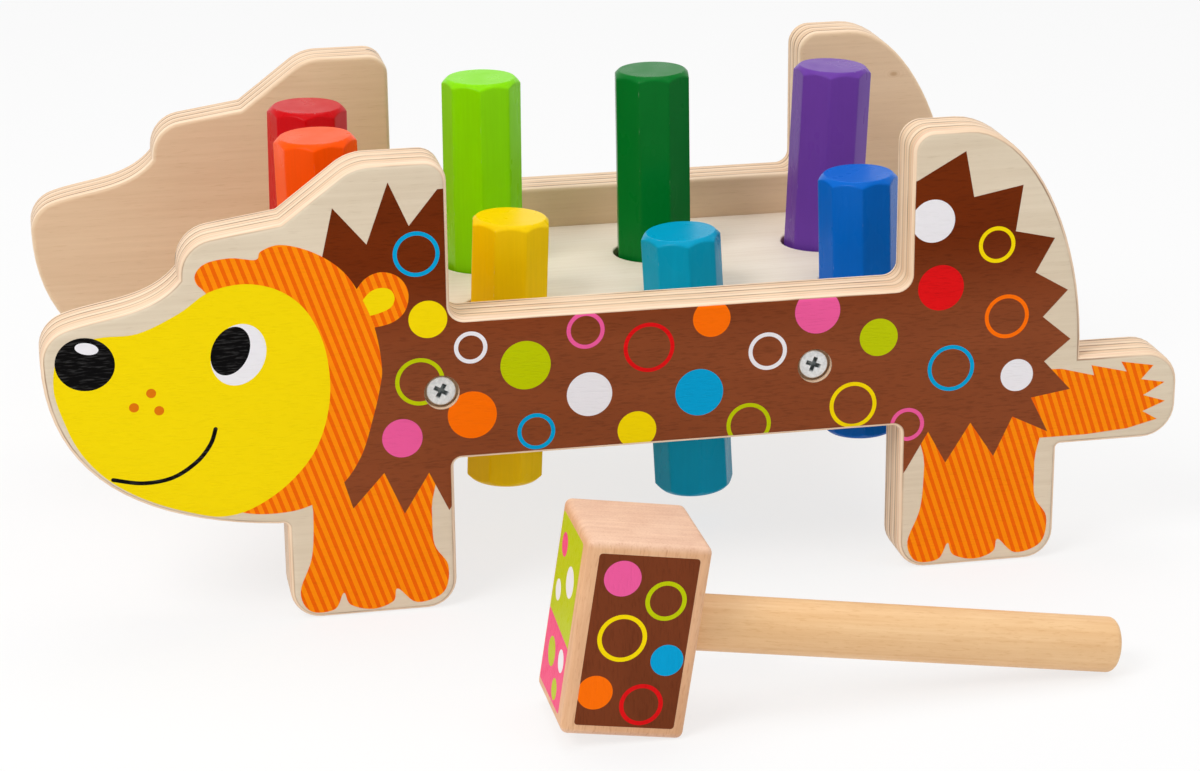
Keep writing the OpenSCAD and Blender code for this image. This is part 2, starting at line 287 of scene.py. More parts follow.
class Shell:
    """Points and faces of a piece as it is built up."""

    def __init__(self):
        self.points = []
        self.faces = []

    def ring(self, loop):
        start = len(self.points)
        self.points += loop
        return list(range(start, len(self.points)))

    def walls(self, rings):
        for one, two in zip(rings, rings[1:]):
            for i in range(len(one)):
                j = (i + 1) % len(one)
                self.faces.append((one[i], one[j], two[j], two[i]))

    def lid(self, loops, rings, flip):
        """Flat face inside the first loop and outside the others, on points that are there already."""
        spots, triangles, owners = overlay(loops)
        near = {}
        for loop, ring in zip(loops, rings):
            for point, index in zip(ccw(loop), ring if area(loop) > 0 else ring[::-1]):
                spot = Vector(point)
                near[round(spot.x, 3), round(spot.y, 3)] = index
        names = [near[round(p.x, 3), round(p.y, 3)] for p in spots]
        for triangle, owner in zip(triangles, owners):
            if owner == [0]:
                corners = [names[i] for i in triangle]
                self.faces.append(corners[::-1] if flip else corners)

    def mesh(self, name):
        made = bpy.data.meshes.new(name)
        made.from_pydata([tuple(p) for p in self.points], [], self.faces)
        return made

    def piece(self, name, finish):
        mesh = self.mesh(name)
        face_outwards(mesh)
        return as_piece(name, mesh, finish)


def face_outwards(mesh, merge=None):
    """Turns all faces outwards, after points within the merge distance are joined."""
    work = bmesh.new()
    work.from_mesh(mesh)
    if merge:
        bmesh.ops.remove_doubles(work, verts=work.verts, dist=merge)
    bmesh.ops.recalc_face_normals(work, faces=work.faces)
    work.to_mesh(mesh)
    work.free()


def as_piece(name, mesh, finish, crease=35):
    """An object of that mesh, smooth apart from edges sharper than the crease, in degrees."""
    if not mesh.materials:
        mesh.materials.append(finish)
    mesh.shade_smooth()
    mesh.set_sharp_from_angle(angle=radians(crease))
    made = bpy.data.objects.new(name, mesh)
    bpy.context.scene.collection.objects.link(made)
    return made


def rounding(radius, steps):
    """Distance from the edge and depth below the face, from step to step over a rounded edge."""
    turns = [pi / 2 * i / steps for i in range(steps + 1)]
    return [(radius * (1 - sin(t)), radius * (1 - cos(t))) for t in turns]


def board(outline, holes, place, thickness, round_over, round_under):
    """A board with rounded edges and turned holes, each a middle and its radius at each depth."""
    shell = Shell()
    levels = rounding(round_over, ROUND_STEPS)
    levels += [(gap, thickness - depth) for gap, depth in reversed(rounding(round_under, ROUND_STEPS))]
    loops = [inset(outline, gap) for gap, _ in levels]
    rings = [shell.ring([place(*p, depth) for p in loop]) for loop, (_, depth) in zip(loops, levels)]
    shell.walls(rings)
    tops, bottoms = [(loops[0], rings[0])], [(loops[-1], rings[-1])]
    for middle, profile in holes:
        circles = [ellipse(*middle, radius) for radius, _ in profile]
        bores = [shell.ring([place(*p, depth) for p in c]) for c, (_, depth) in zip(circles, profile)]
        shell.walls(bores)
        tops.append((circles[0], bores[0]))
        bottoms.append((circles[-1], bores[-1]))
    shell.lid(*zip(*tops), flip=False)
    shell.lid(*zip(*bottoms), flip=True)
    return shell


def panel_place(side):
    """Where a point of the panel's outline lies, at a depth below its outer face."""
    return lambda x, z, depth: (x * MM, side * (PANEL_FACE - depth) * MM, z * MM)


panel_finish = plywood(
    "panel_plywood", 1, lambda place: PANEL_FACE - place.axes()[1].math("ABSOLUTE") / MM, PANEL_T,
    outer=(srgb(227, 212, 188), srgb(206, 187, 160)), inner=(srgb(229, 199, 164), srgb(211, 178, 142)),
    core_gaps=CORE_GAPS, knot=KNOT)
HEAD_LAND, SEAT_GAP, SEAT_BEVEL, BORE_ROOM = 0.3, 0.1, 0.3, 1.9
screw_low, screw_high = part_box("screw_front_left")
SCREW_HEAD_R = (screw_high.x - screw_low.x) / 2 / MM
BORE_DEPTH = PANEL_FACE + screw_low.y / MM + HEAD_LAND + BORE_ROOM
for node, side in PANELS.items():
    outer = flat_loops(node, 1, side * PANEL_FACE * MM)
    inner = flat_loops(node, 1, side * (PANEL_FACE - PANEL_T) * MM)
    panel_outline = outer[0]
    panel_holes = [round_hole(loop) for loop in outer[1:]]
    shank_r = round_hole(inner[1])[1]
    seat = [(shank_r + SEAT_BEVEL, BORE_DEPTH), (shank_r, BORE_DEPTH + SEAT_BEVEL), (shank_r, PANEL_T)]
    bores = [(middle, [(rim, 0), (rim, BORE_DEPTH)] + seat) for middle, rim in panel_holes]
    panel = board(panel_outline, bores, panel_place(side), PANEL_T, PANEL_ROUND, INNER_ROUND)
    panel = panel.piece(node.replace("_panel", "_board"), panel_finish)
    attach(panel, "bench")
    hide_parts(node)

# Printing on the panels
# Screen-printed inks on each panel's outer face: a yellow face, a striped mane, legs and tail, and a
# brown coat with a jagged edge and scattered dots and rings. The brown has painted shade that darkens it
# towards the top, in place of the sheen that lightens its lower part. The inks run a little way over the
# panel's rounded edge.
FILM = 0.04
FILM_KEY = 0.05
INKS = {
    "yellow": srgb(246, 217, 0), "brown": srgb(139, 72, 40), "black": srgb(5, 4, 5),
    "white": srgb(236, 234, 238), "lime": srgb(188, 200, 0), "cyan": srgb(0, 160, 212),
    "pink": srgb(238, 92, 156), "red": srgb(226, 16, 20), "orange": srgb(255, 112, 0),
    "amber": srgb(255, 142, 5), "ginger": srgb(241, 101, 0), "rose": srgb(244, 78, 130),
    "tan": srgb(222, 116, 8), "umber": srgb(120, 58, 30),
}
# Painted shade on the brown ink: the tint it takes higher up, the lightness that picks brown out, and the
# heights over which it darkens.
BROWN_SHADE_TINT = (0.63, 0.36, 0.07)
BROWN_LIGHTNESS = (0.115, 0.15)
BROWN_SHADE_HEIGHTS = (76, 116)
STRIPE_PITCH = 2.78
STRIPE_LEAN = 0.335
STRIPE_SHARE = 0.46
RING_LINE = 1.3
LINE_STEPS, LINE_END_STEPS = 8, 6


def smooth(points, steps=6, closed=True):
    """A flowing curve through the points."""
    count = len(points)
    spots = []
    for i in range(count if closed else count - 1):
        around = [i + k if closed else min(max(i + k, 0), count - 1) for k in (-1, 0, 1, 2)]
        a, b, c, d = (Vector(points[k % count]) for k in around)
        for s in range(steps):
            t = s / steps
            spot = b + (c - a) * (t / 2) + (2 * a - 5 * b + 4 * c - d) * (t * t / 2)
            spot += (3 * b - a - 3 * c + d) * (t ** 3 / 2)
            spots.append((spot.x, spot.y))
    return spots if closed else spots + [tuple(points[-1])]


def stroke(points, width):
    """A drawn line of that width along a flowing curve, with round ends."""
    path = [Vector(p) for p in smooth(points, LINE_STEPS, closed=False)]
    sides = ([], [])
    for i, spot in enumerate(path):
        way = (path[min(i + 1, len(path) - 1)] - path[max(i - 1, 0)]).normalized()
        for side, sign in zip(sides, (1, -1)):
            side.append(spot + Vector((-way.y, way.x)) * (sign * width / 2))
    ends = []
    for middle, start in ((path[-1], sides[1][-1]), (path[0], sides[0][0])):
        arm = start - middle
        turns = [pi * k / LINE_END_STEPS for k in range(1, LINE_END_STEPS)]
        ends.append([middle + Matrix.Rotation(turn, 2) @ arm for turn in turns])
    return [tuple(p) for p in sides[1] + ends[0] + sides[0][::-1] + ends[1]]


def stripes(left, right, low, high):
    """Slanting bands that fill the given box."""
    lean = (high - low) * STRIPE_LEAN
    count = int((right - left + lean) / STRIPE_PITCH) + 1
    half = STRIPE_PITCH * STRIPE_SHARE
    bands = []
    for i in range(count):
        x = left + i * STRIPE_PITCH
        bands.append([(x, low), (x + half, low), (x + half - lean, high), (x - lean, high)])
    return bands


def spots_and_rings(marks, ground):
    """Dots, and rings made of a dot with a smaller one of the ground's ink on top."""
    layers = []
    for x, z, radius, ink, is_ring in marks:
        layers.append((ellipse(x, z, radius), ink))
        if is_ring:
            layers.append((ellipse(x, z, radius - RING_LINE), ground))
    return layers


def printed(name, field, gaps, layers, bands, folds, place, finish):
    """A thin film of ink inside the field and outside the gaps, where a later layer covers an earlier one.
    It bends along the folds."""
    sheets = [field] + gaps + [layer for layer, _ in layers] + bands + folds
    first_layer = 1 + len(gaps)
    first_band = first_layer + len(layers)
    first_fold = first_band + len(bands)
    spots, triangles, owners = overlay(sheets)
    inked = []
    for triangle, owner in zip(triangles, owners):
        on_top = max((i for i in owner if first_layer <= i < first_band), default=None)
        if 0 not in owner or on_top is None or any(1 <= i < first_layer for i in owner):
            continue
        ink = layers[on_top - first_layer][1]
        if ink == "striped":
            ink = "ginger" if any(first_band <= i < first_fold for i in owner) else "amber"
        inked.append((triangle, INKS[ink]))
    used = sorted({i for triangle, _ in inked for i in triangle})
    order = {old: new for new, old in enumerate(used)}
    shell = Shell()
    top = shell.ring([place(*spots[i], -FILM) for i in used])
    under = shell.ring([place(*spots[i], FILM_KEY) for i in used])
    colours = []
    rim = {}
    for triangle, ink in inked:
        corners = [order[i] for i in triangle]
        shell.faces += [tuple(top[i] for i in corners), tuple(under[i] for i in reversed(corners))]
        colours += [ink, ink]
        for one, two in zip(corners, corners[1:] + corners[:1]):
            if rim.pop((two, one), None) is None:
                rim[one, two] = ink
    for (one, two), ink in rim.items():
        shell.faces.append((top[two], top[one], under[one], under[two]))
        colours.append(ink)
    mesh = shell.mesh(name)
    inks = mesh.color_attributes.new("ink", "FLOAT_COLOR", "CORNER")
    for face, ink in zip(mesh.polygons, colours):
        for corner in face.loop_indices:
            inks.data[corner].color = ink
    face_outwards(mesh)
    return as_piece(name, mesh, finish, crease=20)


def edge_depth(outline, radius):
    """How far a rounded edge has dropped below the face, for a point inside that outline."""
    starts = numpy.array(outline)
    ways = numpy.roll(starts, -1, axis=0) - starts
    lengths = (ways ** 2).sum(axis=1)

    def drop(x, z):
        away = numpy.array((x, z)) - starts
        share = ((away * ways).sum(axis=1) / lengths).clip(0, 1)
        gap = numpy.linalg.norm(away - share[:, None] * ways, axis=1).min()
        return radius - (radius ** 2 - max(radius - gap, 0.0) ** 2) ** 0.5

    return drop


def ink_finish(name, along, sunk, shade_above=None):
    """Satin ink that sinks a little into the grain below it, which shows most in the dark inks.
    Brown gets painted shade: it darkens from the lower to the upper of the two given heights and stays dark
    above them, in place of the sheen that lightens it lower down."""
    finish, shader, place = new_finish(name, 0.42, 0.05)
    ink = place.node("ShaderNodeAttribute", out="Color", attribute_name="ink")
    dips = place.drawn(along, 0.26, 1.9, 2.0, 9.0).ramp(0.52, 0.68)
    drift = place.drawn(along, 0.02, 0.1, 2.0, 2.0).ramp(0.3, 0.7)
    lightness = ink.node("ShaderNodeRGBToBW", {0: ink})
    # Painted shade: brown inks darken with height, standing in for the sheen and reflected light on the lower
    # part of the coat.
    if shade_above:
        low, high = shade_above
        climb = place.axes()[2].ramp(low * MM, high * MM, shape="SMOOTHSTEP")
        painted_shade = climb * lightness.ramp(*BROWN_LIGHTNESS, 1.0, 0.0)
        ink = painted_shade.blend(ink, ink.vector("MULTIPLY", BROWN_SHADE_TINT))
    shade = 1.0 - (dips * sunk + drift * 0.16) * lightness.ramp(0.02, 0.3, 1.0, 0.1)
    # Painted highlight: in the darkest inks the grain dips are lightened towards grey, as glints.
    painted_glint = dips * lightness.ramp(0.0, 0.03, 0.07, 0.0)
    painted_glint.blend(ink.vector("MULTIPLY", shade), srgb(170, 168, 168)).into(shader, "Base Color")
    dips.ramp(0.0, 1.0, 0.36, 0.56).into(shader, "Roughness")
    bump(1.0 - dips, shader, 0.12, 0.4)
    return finish


FACE = smooth([
    (-177, 82), (-174, 93.5), (-163, 97), (-151, 97.6), (-138.5, 103), (-129, 109.2), (-118, 111),
    (-107.5, 108), (-99.5, 100.5), (-94.6, 88), (-94, 72), (-98.6, 57), (-107.6, 46), (-119, 38.7),
    (-129, 36.7), (-139.4, 39.2), (-149, 42.9), (-157, 47.3), (-164, 52.9), (-170, 60.5), (-174, 69.5)])
MANE = smooth([
    (-129, 107.5), (-132.7, 112.2), (-132.6, 115.6), (-129.2, 118.4), (-122, 119.4), (-114.6, 118.4),
    (-113, 120.9), (-107.5, 122.6), (-100, 120.8), (-93, 117), (-87.4, 111.8), (-83.2, 104.5), (-79.3, 94),
    (-77.6, 82), (-78.4, 75), (-80.8, 65.5), (-85, 53), (-92, 43.5), (-103, 37.5), (-115, 36.4),
    (-124.5, 38.2), (-131, 42), (-122, 60), (-118, 90)])
EAR = smooth([
    (-88, 100), (-84.9, 106.4), (-81.6, 110.4), (-77.2, 112), (-72.6, 110.8), (-69.6, 107.6), (-68.7, 103.6),
    (-70, 99), (-73.6, 95.9), (-79, 94.6), (-84, 94.5)])
EAR_INSIDE = smooth([
    (-84.5, 100.4), (-81, 105.5), (-77.4, 107), (-74.2, 106.2), (-73, 103.5), (-74.2, 100.7), (-77.6, 99.1),
    (-82, 98.4)])
LEG = smooth([
    (-18.5, 54), (18, 54), (18.5, 34), (19, 22), (23.2, 14.5), (21.6, 5.6), (13, 2.8), (7, 8), (5.5, 3.8),
    (-1, 1.7), (-8, 3.8), (-10, 8), (-13, 2.7), (-20.5, 2.6), (-23.5, 9.5), (-19.5, 21), (-18.5, 36)])
LEG_MIDDLES = (-82, 114.5)
STRIPED = [(-140, 0, 2, 122), (88, 206, 2, 68)]
INK_REACH = 2
INK_GAP = 0.02
TAIL = [
    (120, 66), (141, 65), (152, 62), (151, 65.5), (163, 62.5), (161, 66), (172, 64), (168, 59.5), (176, 58),
    (169, 54), (176.5, 51.5), (169, 48.5), (174, 45.5), (164, 43), (150, 42), (132, 42), (120, 42)]
COAT = [
    (-98, 112), (-95, 116), (-91, 133), (-81, 121), (-74, 140), (-68, 126), (-59, 137), (-45, 137),
    (-45, 100), (80, 100), (80, 124), (91, 130), (107, 139), (110, 124), (126, 127), (124, 112), (137, 109),
    (131, 98), (142, 91.5), (134, 83), (143.5, 75), (135, 68), (144, 58), (131, 56), (137, 44), (125, 50),
    (119, 37), (111, 49), (103, 36), (97, 47), (89, 33), (82, 44), (-50, 44), (-58, 33), (-64, 46), (-72, 33),
    (-78, 47), (-88, 36), (-92, 50), (-98, 60), (-100, 90)]
# Dots and rings: across, height, radius, ink, whether it is a ring
COAT_MARKS = [
    (-66, 117, 7.2, "cyan", True), (-63, 96, 6, "yellow", False), (-66, 76, 7.7, "lime", True),
    (-72, 58, 6.3, "pink", False), (-50, 86, 5.2, "white", True), (-50, 64, 7.7, "orange", False),
    (-33, 79, 7.9, "lime", False), (-30, 57, 6, "cyan", True), (-14, 89, 6, "pink", True),
    (-13, 68, 7.2, "white", False), (2, 55, 6.2, "yellow", False), (6, 82, 8.1, "red", True),
    (22, 66, 7.7, "cyan", False), (26, 90, 6, "orange", False), (38, 54, 7.2, "lime", True),
    (44, 78, 6.2, "white", True), (60, 90, 7.3, "pink", False), (72, 58, 7.7, "yellow", True),
    (80, 80, 6.2, "lime", False), (97, 117, 7, "white", False), (100, 95, 7.5, "red", False),
    (104, 68, 7.7, "cyan", True), (118, 108, 6, "yellow", True), (122, 84, 7.3, "orange", True),
    (90, 50, 5.6, "pink", True), (126, 64, 5.4, "white", False)]
# Ellipses: across, height, half width, half height, turn in degrees
NOSE, NOSE_SHINE = (-167.2, 89, 9.0, 8.4, -12), (-166.4, 93.9, 3.55, 1.85, -12)
EYE, PUPIL = (-121.1, 88.8, 8.2, 10.0, -23), (-123.5, 90.15, 5.65, 8.0, -24)
FRECKLES = [(-148, 78.4, 1.5), (-153.4, 74.2, 1.5), (-145.9, 72.7, 1.5)]
SMILE_LINE = 1.3
SMILE = [(-161, 51.4), (-152, 49.6), (-143, 50.7), (-135.5, 55.2), (-131, 60.6), (-129.2, 65.5)]

ink = ink_finish("panel_ink", along=0, sunk=0.22, shade_above=BROWN_SHADE_HEIGHTS)
panel_print = [([(x + mid, z) for x, z in LEG], "striped") for mid in LEG_MIDDLES]
panel_print += [(TAIL, "striped"), (COAT, "brown")]
panel_print += spots_and_rings(COAT_MARKS, "brown")
panel_print += [(EAR, "striped"), (EAR_INSIDE, "yellow"), (MANE, "striped"), (FACE, "yellow")]
panel_print += [(ellipse(*NOSE), "black"), (ellipse(*NOSE_SHINE), "white")]
panel_print += [(ellipse(*EYE), "white"), (ellipse(*PUPIL), "black")]
panel_print += [(ellipse(*freckle), "tan") for freckle in FRECKLES]
panel_print += [(stroke(SMILE, SMILE_LINE), "black")]
panel_bands = [band for box in STRIPED for band in stripes(*box)]
panel_folds = [inset(panel_outline, gap) for gap, _ in rounding(PANEL_ROUND, ROUND_STEPS)[:INK_REACH + 1]]
panel_field = panel_folds.pop()
panel_drop = edge_depth(panel_outline, PANEL_ROUND)
panel_gaps = [ellipse(*middle, rim + INK_GAP) for middle, rim in panel_holes]
for node, side in PANELS.items():
    flat_place = panel_place(side)
    film = printed(
        node.replace("_side_panel", "_panel_print"), panel_field, panel_gaps, panel_print, panel_bands,
        panel_folds, lambda x, z, depth: flat_place(x, z, depth + panel_drop(x, z)), ink)
    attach(film, "bench")

# Bench plate
# One board of the same plywood, with two rows of round holes for the pegs, eased at both ends, and a
# groove inside each hole for its friction ring. It is screwed between the panels.
PLATE_EASE = 0.5
HOLE_EASE = 0.4
plate_low, plate_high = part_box("bench_plate")
PLATE_TOP = plate_high.z / MM
PLATE_T = (plate_high.z - plate_low.z) / MM
ring_low, ring_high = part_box("ring_red")
GROOVE_R = (ring_high.x - ring_low.x) / 2 / MM
GROOVE_H = (ring_high.z - ring_low.z) / MM

plate_finish = plywood(
    "plate_plywood", 2, lambda place: PLATE_TOP - place.axes()[2] / MM, PLATE_T,
    outer=(srgb(241, 229, 212), srgb(224, 206, 184)), inner=(srgb(228, 200, 164), srgb(208, 174, 136)))
plate_loops = flat_loops("bench_plate", 2, plate_high.z)
peg_holes = [round_hole(loop) for loop in plate_loops[1:]]
HOLE_R = peg_holes[0][1]
groove_top = (PLATE_T - GROOVE_H) / 2
hole_profile = [
    (HOLE_R + HOLE_EASE, 0), (HOLE_R, HOLE_EASE), (HOLE_R, groove_top), (GROOVE_R, groove_top),
    (GROOVE_R, groove_top + GROOVE_H), (HOLE_R, groove_top + GROOVE_H), (HOLE_R, PLATE_T - HOLE_EASE),
    (HOLE_R + HOLE_EASE, PLATE_T)]
plate = board(
    plate_loops[0], [(middle, hole_profile) for middle, _ in peg_holes],
    lambda x, y, depth: (x * MM, y * MM, (PLATE_TOP - depth) * MM), PLATE_T, PLATE_EASE, PLATE_EASE)
plate = plate.piece("plate_board", plate_finish)
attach(plate, "bench")
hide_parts("bench_plate")

# Friction rings
# Round rubber rings, one pressed into the groove of each hole. They grip the corners of the peg, so
# that it stays where the mallet leaves it.
RING_AROUND = 48
RING_SECTION = 12


class Tree:
    """A Geometry Nodes tree with named inputs, whose result becomes a plain mesh."""

    def __init__(self, name, source=None, **inputs):
        self.tree = bpy.data.node_groups.new(name, "GeometryNodeTree")
        self.tree.interface.new_socket("Result", in_out="OUTPUT", socket_type="NodeSocketGeometry")
        self.tree.interface.new_socket("Shape", in_out="INPUT", socket_type="NodeSocketGeometry")
        self.source = source
        self.names = {}
        self.values = inputs
        for label, value in inputs.items():
            kind = "NodeSocketFloat" if isinstance(value, float) else "NodeSocketInt"
            made = self.tree.interface.new_socket(label, in_out="INPUT", socket_type=kind)
            made.default_value = value
            self.names[label] = made.identifier
        group = self.tree.nodes.new("NodeGroupInput")
        self.shape = Wire(group.outputs["Shape"])
        self.inputs = {label: Wire(group.outputs[label]) for label in inputs}

    def node(self, kind, sockets=None, out=0, **settings):
        return Wire.add(self.tree, kind, sockets, out, **settings)

    def mesh(self, name, geometry, finish):
        real = self.node("GeometryNodeRealizeInstances", {0: geometry})
        real = self.node("GeometryNodeSetMaterial", {"Geometry": real, "Material": finish})
        end = self.tree.nodes.new("NodeGroupOutput")
        self.tree.links.new(real.socket, end.inputs[0])
        source = self.source or bpy.data.meshes.new(name + "_maker")
        holder = bpy.data.objects.new(name + "_maker", source)
        bpy.context.scene.collection.objects.link(holder)
        maker = holder.modifiers.new("maker", "NODES")
        maker.node_group = self.tree
        for label, value in self.values.items():
            maker[self.names[label]] = value
        ready = holder.evaluated_get(bpy.context.evaluated_depsgraph_get())
        mesh = bpy.data.meshes.new_from_object(ready)
        mesh.name = name
        holder.modifiers.remove(maker)
        bpy.data.objects.remove(holder)
        face_outwards(mesh)
        return mesh


columns = sorted({round(middle[0], 3) for middle, _ in peg_holes})
rows = sorted({round(middle[1], 3) for middle, _ in peg_holes})
ring_section = (ring_high.z - ring_low.z) / 2


def ring_mesh(finish):
    tree = Tree("friction_ring", Bend=(ring_high.x - ring_low.x) / 2 - ring_section, Section=ring_section,
                Reach=(columns[-1] - columns[0]) * MM, Spread=(rows[-1] - rows[0]) * MM,
                Columns=len(columns), Rows=len(rows))
    bend, section, reach, spread_y, count_x, count_y = tree.inputs.values()
    hoop, rod = (
        tree.node("GeometryNodeCurvePrimitiveCircle", {"Resolution": steps, "Radius": radius})
        for steps, radius in ((RING_AROUND, bend), (RING_SECTION, section)))
    ring = tree.node("GeometryNodeCurveToMesh", {0: hoop, 1: rod})
    grid = tree.node("GeometryNodeMeshGrid", {
        "Size X": reach, "Size Y": spread_y, "Vertices X": count_x, "Vertices Y": count_y})
    grid = tree.node("GeometryNodeTransform", {
        "Geometry": grid, "Translation": (0, 0, (PLATE_TOP - PLATE_T / 2) * MM)})
    rings = tree.node("GeometryNodeInstanceOnPoints", {"Points": grid, "Instance": ring})
    return tree.mesh("friction_rings", rings, finish)


rubber, shader, place = new_finish("ring_rubber", 0.7, 0.3)
dusty = place.noise((1.5, 1.5, 1.5), 3.0, 6.0)
dusty.ramp(0.4, 0.8).blend(srgb(38, 38, 38), srgb(62, 61, 59)).into(shader, "Base Color")
bump(dusty, shader, 0.04, 0.5)
rings = as_piece("friction_rings", ring_mesh(rubber), rubber)
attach(rings, "bench")
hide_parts(*[node for node in frame["nodes"] if node.startswith("ring_")])

# Pegs
# Octagonal hardwood pegs with both ends turned to a chamfer, dipped in satin paint. Each slides along
# its own axis through its hole and leans a little there.
PEG_SIDES = 8
PEG_FACE_R = 11.3 * MM
PEG_WIDEST = 1.16
PEG_SOFT = 0.45 * MM
RIM_SOFT = 0.5 * MM
RIM_BAND = 0.5 * MM
CAP_INSET = 1.0 * MM
PAINT_DEEPEST = 0.92
# Pale patches on the peg's corners and rim: partly rubbed paint, partly painted highlight.
EDGE_PALE_SHARE, EDGE_PALE_GREY = 0.2, 0.7
PEG_COLOURS = {
    "red": (200, 5, 14), "light_green": (136, 222, 0), "dark_green": (0, 112, 38), "purple": (108, 61, 160),
    "orange": (255, 84, 0), "yellow": (248, 208, 0), "cyan": (0, 155, 195), "blue": (0, 102, 203)}
AROUND = 80
CAP_ROWS, CHAMFER_ROWS, SIDE_ROWS = 2, 26, 2


def peg_mesh(name, apothem, length, finish):
    """An octagonal bar whose radius is the least of its flats and its turned ends, with soft edges."""
    rows = CAP_ROWS + CHAMFER_ROWS + SIDE_ROWS
    corner = pi / PEG_SIDES
    tree = Tree("turned_peg", Apothem=apothem, Length=length, FaceRadius=PEG_FACE_R,
                Soft=PEG_SOFT, RimSoft=RIM_SOFT)
    flat, length, face, soft, rim_soft = tree.inputs.values()
    grid = tree.node("GeometryNodeMeshGrid", {
        "Size X": 1.0, "Size Y": 2.0, "Vertices X": AROUND + 1, "Vertices Y": 2 * rows + 1})
    along, end, _ = tree.node("GeometryNodeInputPosition").axes()
    sector = (along + 0.5) * PEG_SIDES
    turn = sector.math("FLOOR")
    within = (sector - turn) * 2 - 1
    bend = (within * (pi / 2)).math("SINE") * corner
    angle = (turn + 0.5) * (2 * corner) + bend
    steep = bend.math("ABSOLUTE")
    this_flat = flat / steep.math("COSINE")
    next_flat = flat / (2 * corner - steep).math("COSINE")
    eight = this_flat.math("SMOOTH_MIN", next_flat, soft)
    inward = 1 - end.math("ABSOLUTE")
    widest = flat * PEG_WIDEST
    inner = face - CAP_INSET
    reach = inward.ramp(0.0, CAP_ROWS / rows) * inner
    reach = reach + inward.ramp(CAP_ROWS / rows, 1 - SIDE_ROWS / rows) * (widest - inner)
    climb = (reach - face).math("SMOOTH_MAX", 0.0, rim_soft)
    side = inward.ramp(1 - SIDE_ROWS / rows, 1.0)
    top_climb = widest - face
    height = length * 0.5 - climb - side * (length * 0.5 - top_climb)
    radius = eight.math("SMOOTH_MIN", reach, rim_soft)
    moved = tree.node("ShaderNodeCombineXYZ", {
        0: radius * angle.math("COSINE"), 1: radius * angle.math("SINE"), 2: height * end.math("SIGN")})
    # Marks the corners and the rim, which the paint turns pale in patches: rubbed paint and painted
    # highlight.
    edge = within.math("ABSOLUTE").ramp(0.8, 1.0) * (1 - inward.ramp(0.0, 0.4, 1.0, 0.0))
    rim = (reach - face).math("ABSOLUTE").ramp(0.0, RIM_BAND, 1.0, 0.0)
    marked = {"Geometry": grid, "Name": "edge", "Value": edge.math("MAXIMUM", rim)}
    bar = tree.node("GeometryNodeStoreNamedAttribute", marked, data_type="FLOAT", domain="POINT")
    bar = tree.node("GeometryNodeSetPosition", {"Geometry": bar, "Position": moved})
    bar = tree.node("GeometryNodeMergeByDistance", {"Geometry": bar, "Distance": WELD})
    return tree.mesh(name, bar, finish)


def paint(name, colour):
    """Satin paint over straight-grained wood: faint grain along the peg and small changes of tone."""
    finish, shader, place = new_finish(name, 0.3, 0.08)
    grain = place.noise((1.2, 1.2, 0.05), 3.0, 2.0)
    cloud = place.noise((0.12, 0.12, 0.06), 2.0, 7.0)
    base = srgb(*colour)
    deep = tuple(c * PAINT_DEEPEST for c in base[:3]) + (1.0,)
    coat = (grain.ramp(0.35, 0.7) * 0.5 + cloud.ramp(0.35, 0.65) * 0.5).blend(base, deep)
    edge = place.node("ShaderNodeAttribute", out="Fac", attribute_name="edge")
    # Pale patches along the corners and rim, partly rubbed paint and partly painted highlight where the edges
    # catch the light.
    worn_and_lit_edge = edge * place.noise((0.8, 0.8, 0.3), 4.0, 5.0).ramp(0.5, 0.7)
    pale = tuple((1 - EDGE_PALE_SHARE) * c + EDGE_PALE_SHARE * EDGE_PALE_GREY for c in base[:3]) + (1.0,)
    worn_and_lit_edge.ramp(0.45, 0.95).blend(coat, pale).into(shader, "Base Color")
    cloud.ramp(0.3, 0.7, 0.24, 0.36).into(shader, "Roughness")
    bump(grain, shader, 0.05, 0.16)
    return finish


def peg_frame(node, axis):
    """Middle, turn, length and apothem of a peg, read from its solid."""
    points = [v.co for v in frame["nodes"][node].data.vertices]
    heights = [p.dot(axis) for p in points]
    upright = axis.to_track_quat("Z", "Y").to_matrix().to_4x4()
    low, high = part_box(node)
    middle = (low + high) / 2
    middle += axis * ((min(heights) + max(heights)) / 2 - middle.dot(axis))
    flats = {}
    for face in frame["nodes"][node].data.polygons:
        if abs(face.normal.dot(axis)) < 1e-3:
            local = upright.inverted() @ face.normal
            flats[round(atan2(local.y, local.x), 2)] = (face.center - middle).dot(face.normal)
    turn = Matrix.Rotation(min(flats, key=abs) - pi / PEG_SIDES, 4, "Z")
    return Matrix.Translation(middle) @ upright @ turn, max(heights) - min(heights), max(flats.values())


slides = {joint["child"]: Vector(joint["axis"]).normalized() for joint in frame["joints"]}
for colour, shade in PEG_COLOURS.items():
    node = "peg_" + colour
    stand, length, apothem = peg_frame(node, slides[node])
    peg = peg_mesh("painted_" + node, apothem, length, paint("paint_" + colour, shade))
    peg.transform(stand)
    peg = as_piece("painted_" + node, peg, None, crease=60)
    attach(peg, node)
    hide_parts(node)

# Screws
# Zinc-plated countersunk wood screws with a cross recess, two through each panel into the edge of the
# bench plate, sunk below the printed face. Each was driven to its own turn.
CROSS_ARM, CROSS_HALF, CROSS_DEPTH = 2.5, 0.72, 1.8
FLOOR_ARM, FLOOR_HALF = CROSS_ARM * 0.55, CROSS_HALF * 0.75
HEAD_EASE = 0.2
THREAD_FROM, THREAD_PITCH, THREAD_CUT = 14.0, 1.6, 0.7
TIP_L, TIP_R = 4, 0.2
LEAST_TURN, MOST_TURN = 0.2, 1.4
SCREW_L = (screw_high.y - screw_low.y) / MM
SCREW_SHANK_R = shank_r - SEAT_GAP


def cross(arm, half):
    """Outline of a plus sign."""
    corner = [(arm, -half), (arm, half), (half, half)]
    outline = []
    for turn in range(4):
        c, d = round(cos(turn * pi / 2)), round(sin(turn * pi / 2))
        outline += [(x * c - y * d, x * d + y * c) for x, y in corner]
    return outline


